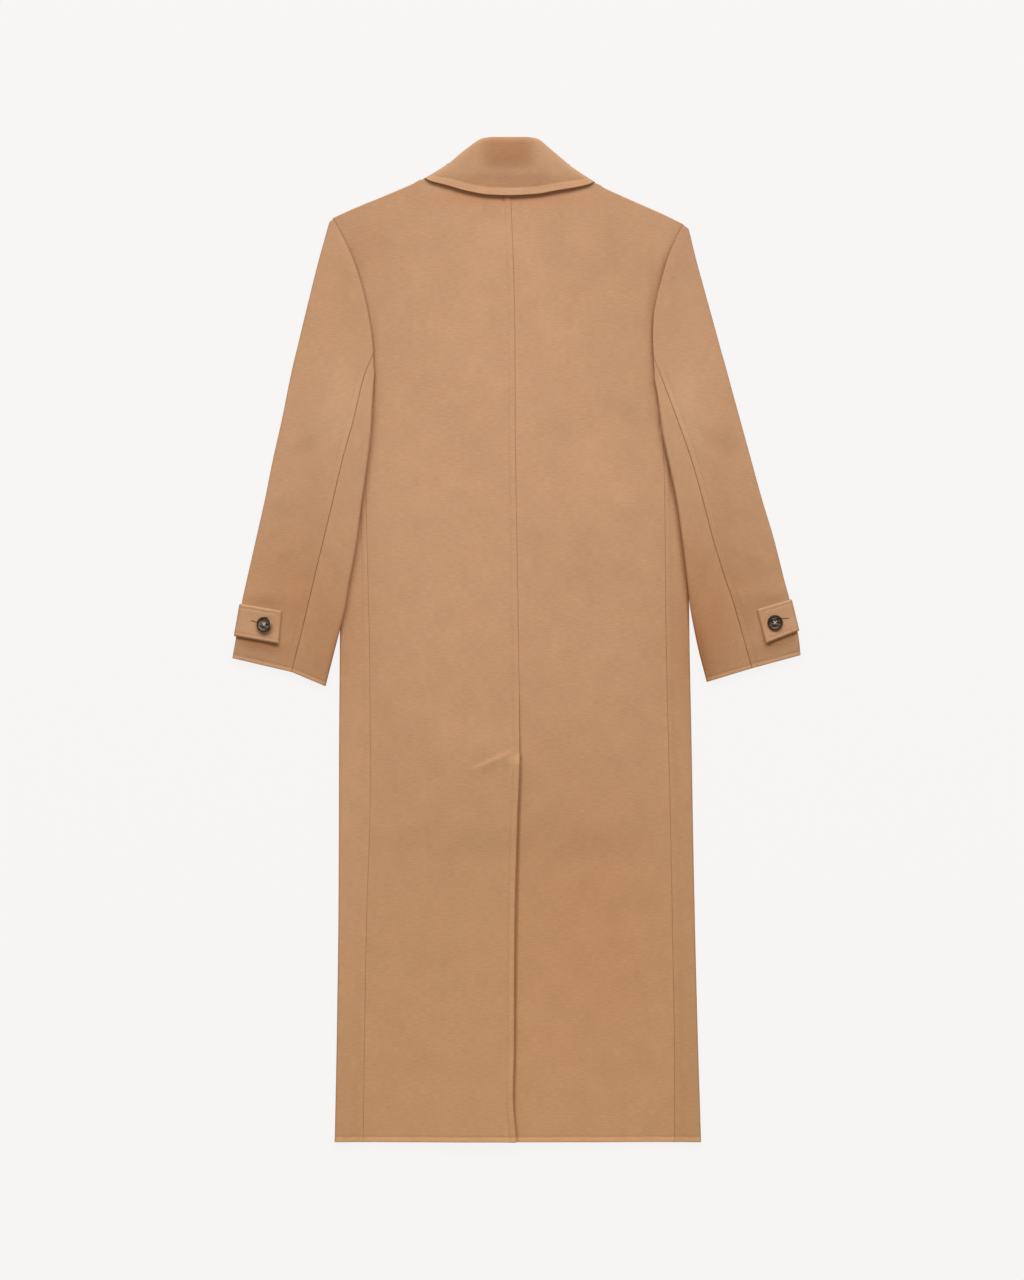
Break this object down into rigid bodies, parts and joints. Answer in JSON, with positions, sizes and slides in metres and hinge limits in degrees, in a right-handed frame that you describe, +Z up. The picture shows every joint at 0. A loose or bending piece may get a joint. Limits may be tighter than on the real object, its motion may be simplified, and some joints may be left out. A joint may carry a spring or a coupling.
{
  "type": "double-breasted coat",
  "caption": "Long double-breasted wool coat with peaked lapels, buttoned cuff tabs and a back vent, laid out flat with its back up.",
  "frame": {"origin": "middle of the coat's box, on the surface it lies on", "axes": "+Y from hem to collar, +X towards the wearer's right, +Z up out of the back"},
  "size_m": [0.7382, 1.3046, 0.0192],
  "materials": {
    "camel_wool": "double-faced camel wool with a short brushed nap, matt",
    "dark_horn": "dark brown polished horn"
  },
  "bodies": {
    "root": {"back_left": "camel_wool", "back_right": "camel_wool", "side_left": "camel_wool", "side_right": "camel_wool", "front_left": "camel_wool", "front_right": "camel_wool", "lapel_left": "camel_wool", "lapel_right": "camel_wool", "collar": "camel_wool", "upper_sleeve_left": "camel_wool", "upper_sleeve_right": "camel_wool", "under_sleeve_left": "camel_wool", "under_sleeve_right": "camel_wool", "cuff_tab_left": "camel_wool", "cuff_tab_right": "camel_wool", "cuff_button_left": "dark_horn", "cuff_button_right": "dark_horn", "front_button_left_1": "dark_horn", "front_button_left_2": "dark_horn", "front_button_left_3": "dark_horn", "front_button_right_1": "dark_horn", "front_button_right_2": "dark_horn", "front_button_right_3": "dark_horn"}
  },
  "joints": []
}
